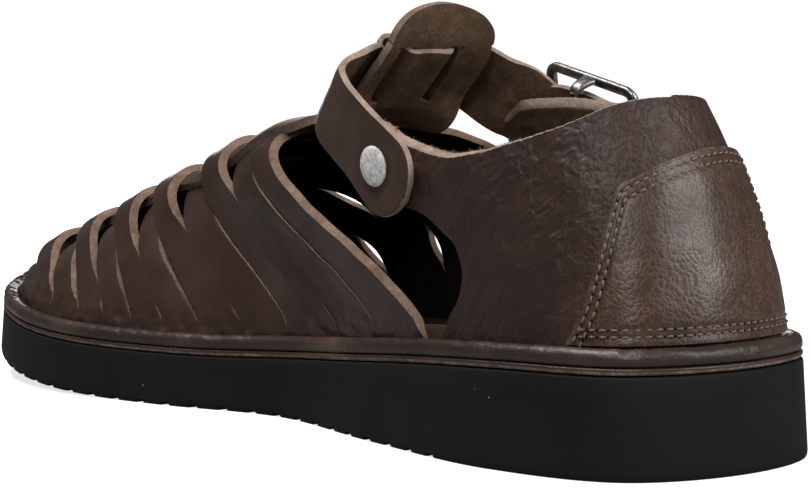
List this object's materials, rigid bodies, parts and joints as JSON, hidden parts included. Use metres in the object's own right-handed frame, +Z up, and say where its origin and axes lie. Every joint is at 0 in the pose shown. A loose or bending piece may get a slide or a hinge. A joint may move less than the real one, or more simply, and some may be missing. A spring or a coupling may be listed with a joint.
{
  "type": "huarache sandal",
  "caption": "Closed-toe brown leather huarache sandal for the right foot: woven vamp strips, riveted instep strap with side buckle, stitched heel counter, black wedge sole.",
  "frame": {"origin": "middle of the outsole's length and width, on the ground plane", "axes": "+Y from heel to toe, +X towards the outer side of this right shoe, +Z up"},
  "size_m": [0.1014, 0.2919, 0.1018],
  "materials": {
    "rubber": "matte, faintly grained",
    "raw_leather": "raw cut edge",
    "welt_leather": "satin",
    "insole_leather": "matte",
    "brown_leather": "waxed, softly glossy, pebbled at the heel",
    "aged_steel": "aged, speckled"
  },
  "bodies": {
    "root": {"outsole": "rubber", "midsole": "raw_leather", "welt": "welt_leather", "insole": "insole_leather", "upper": "brown_leather", "heel_counter": "brown_leather", "tongue": "brown_leather", "instep_strap": "brown_leather", "buckle_holder": "brown_leather", "rivet_cap": "aged_steel", "buckle_frame": "aged_steel", "buckle_prong": "aged_steel"}
  },
  "joints": []
}
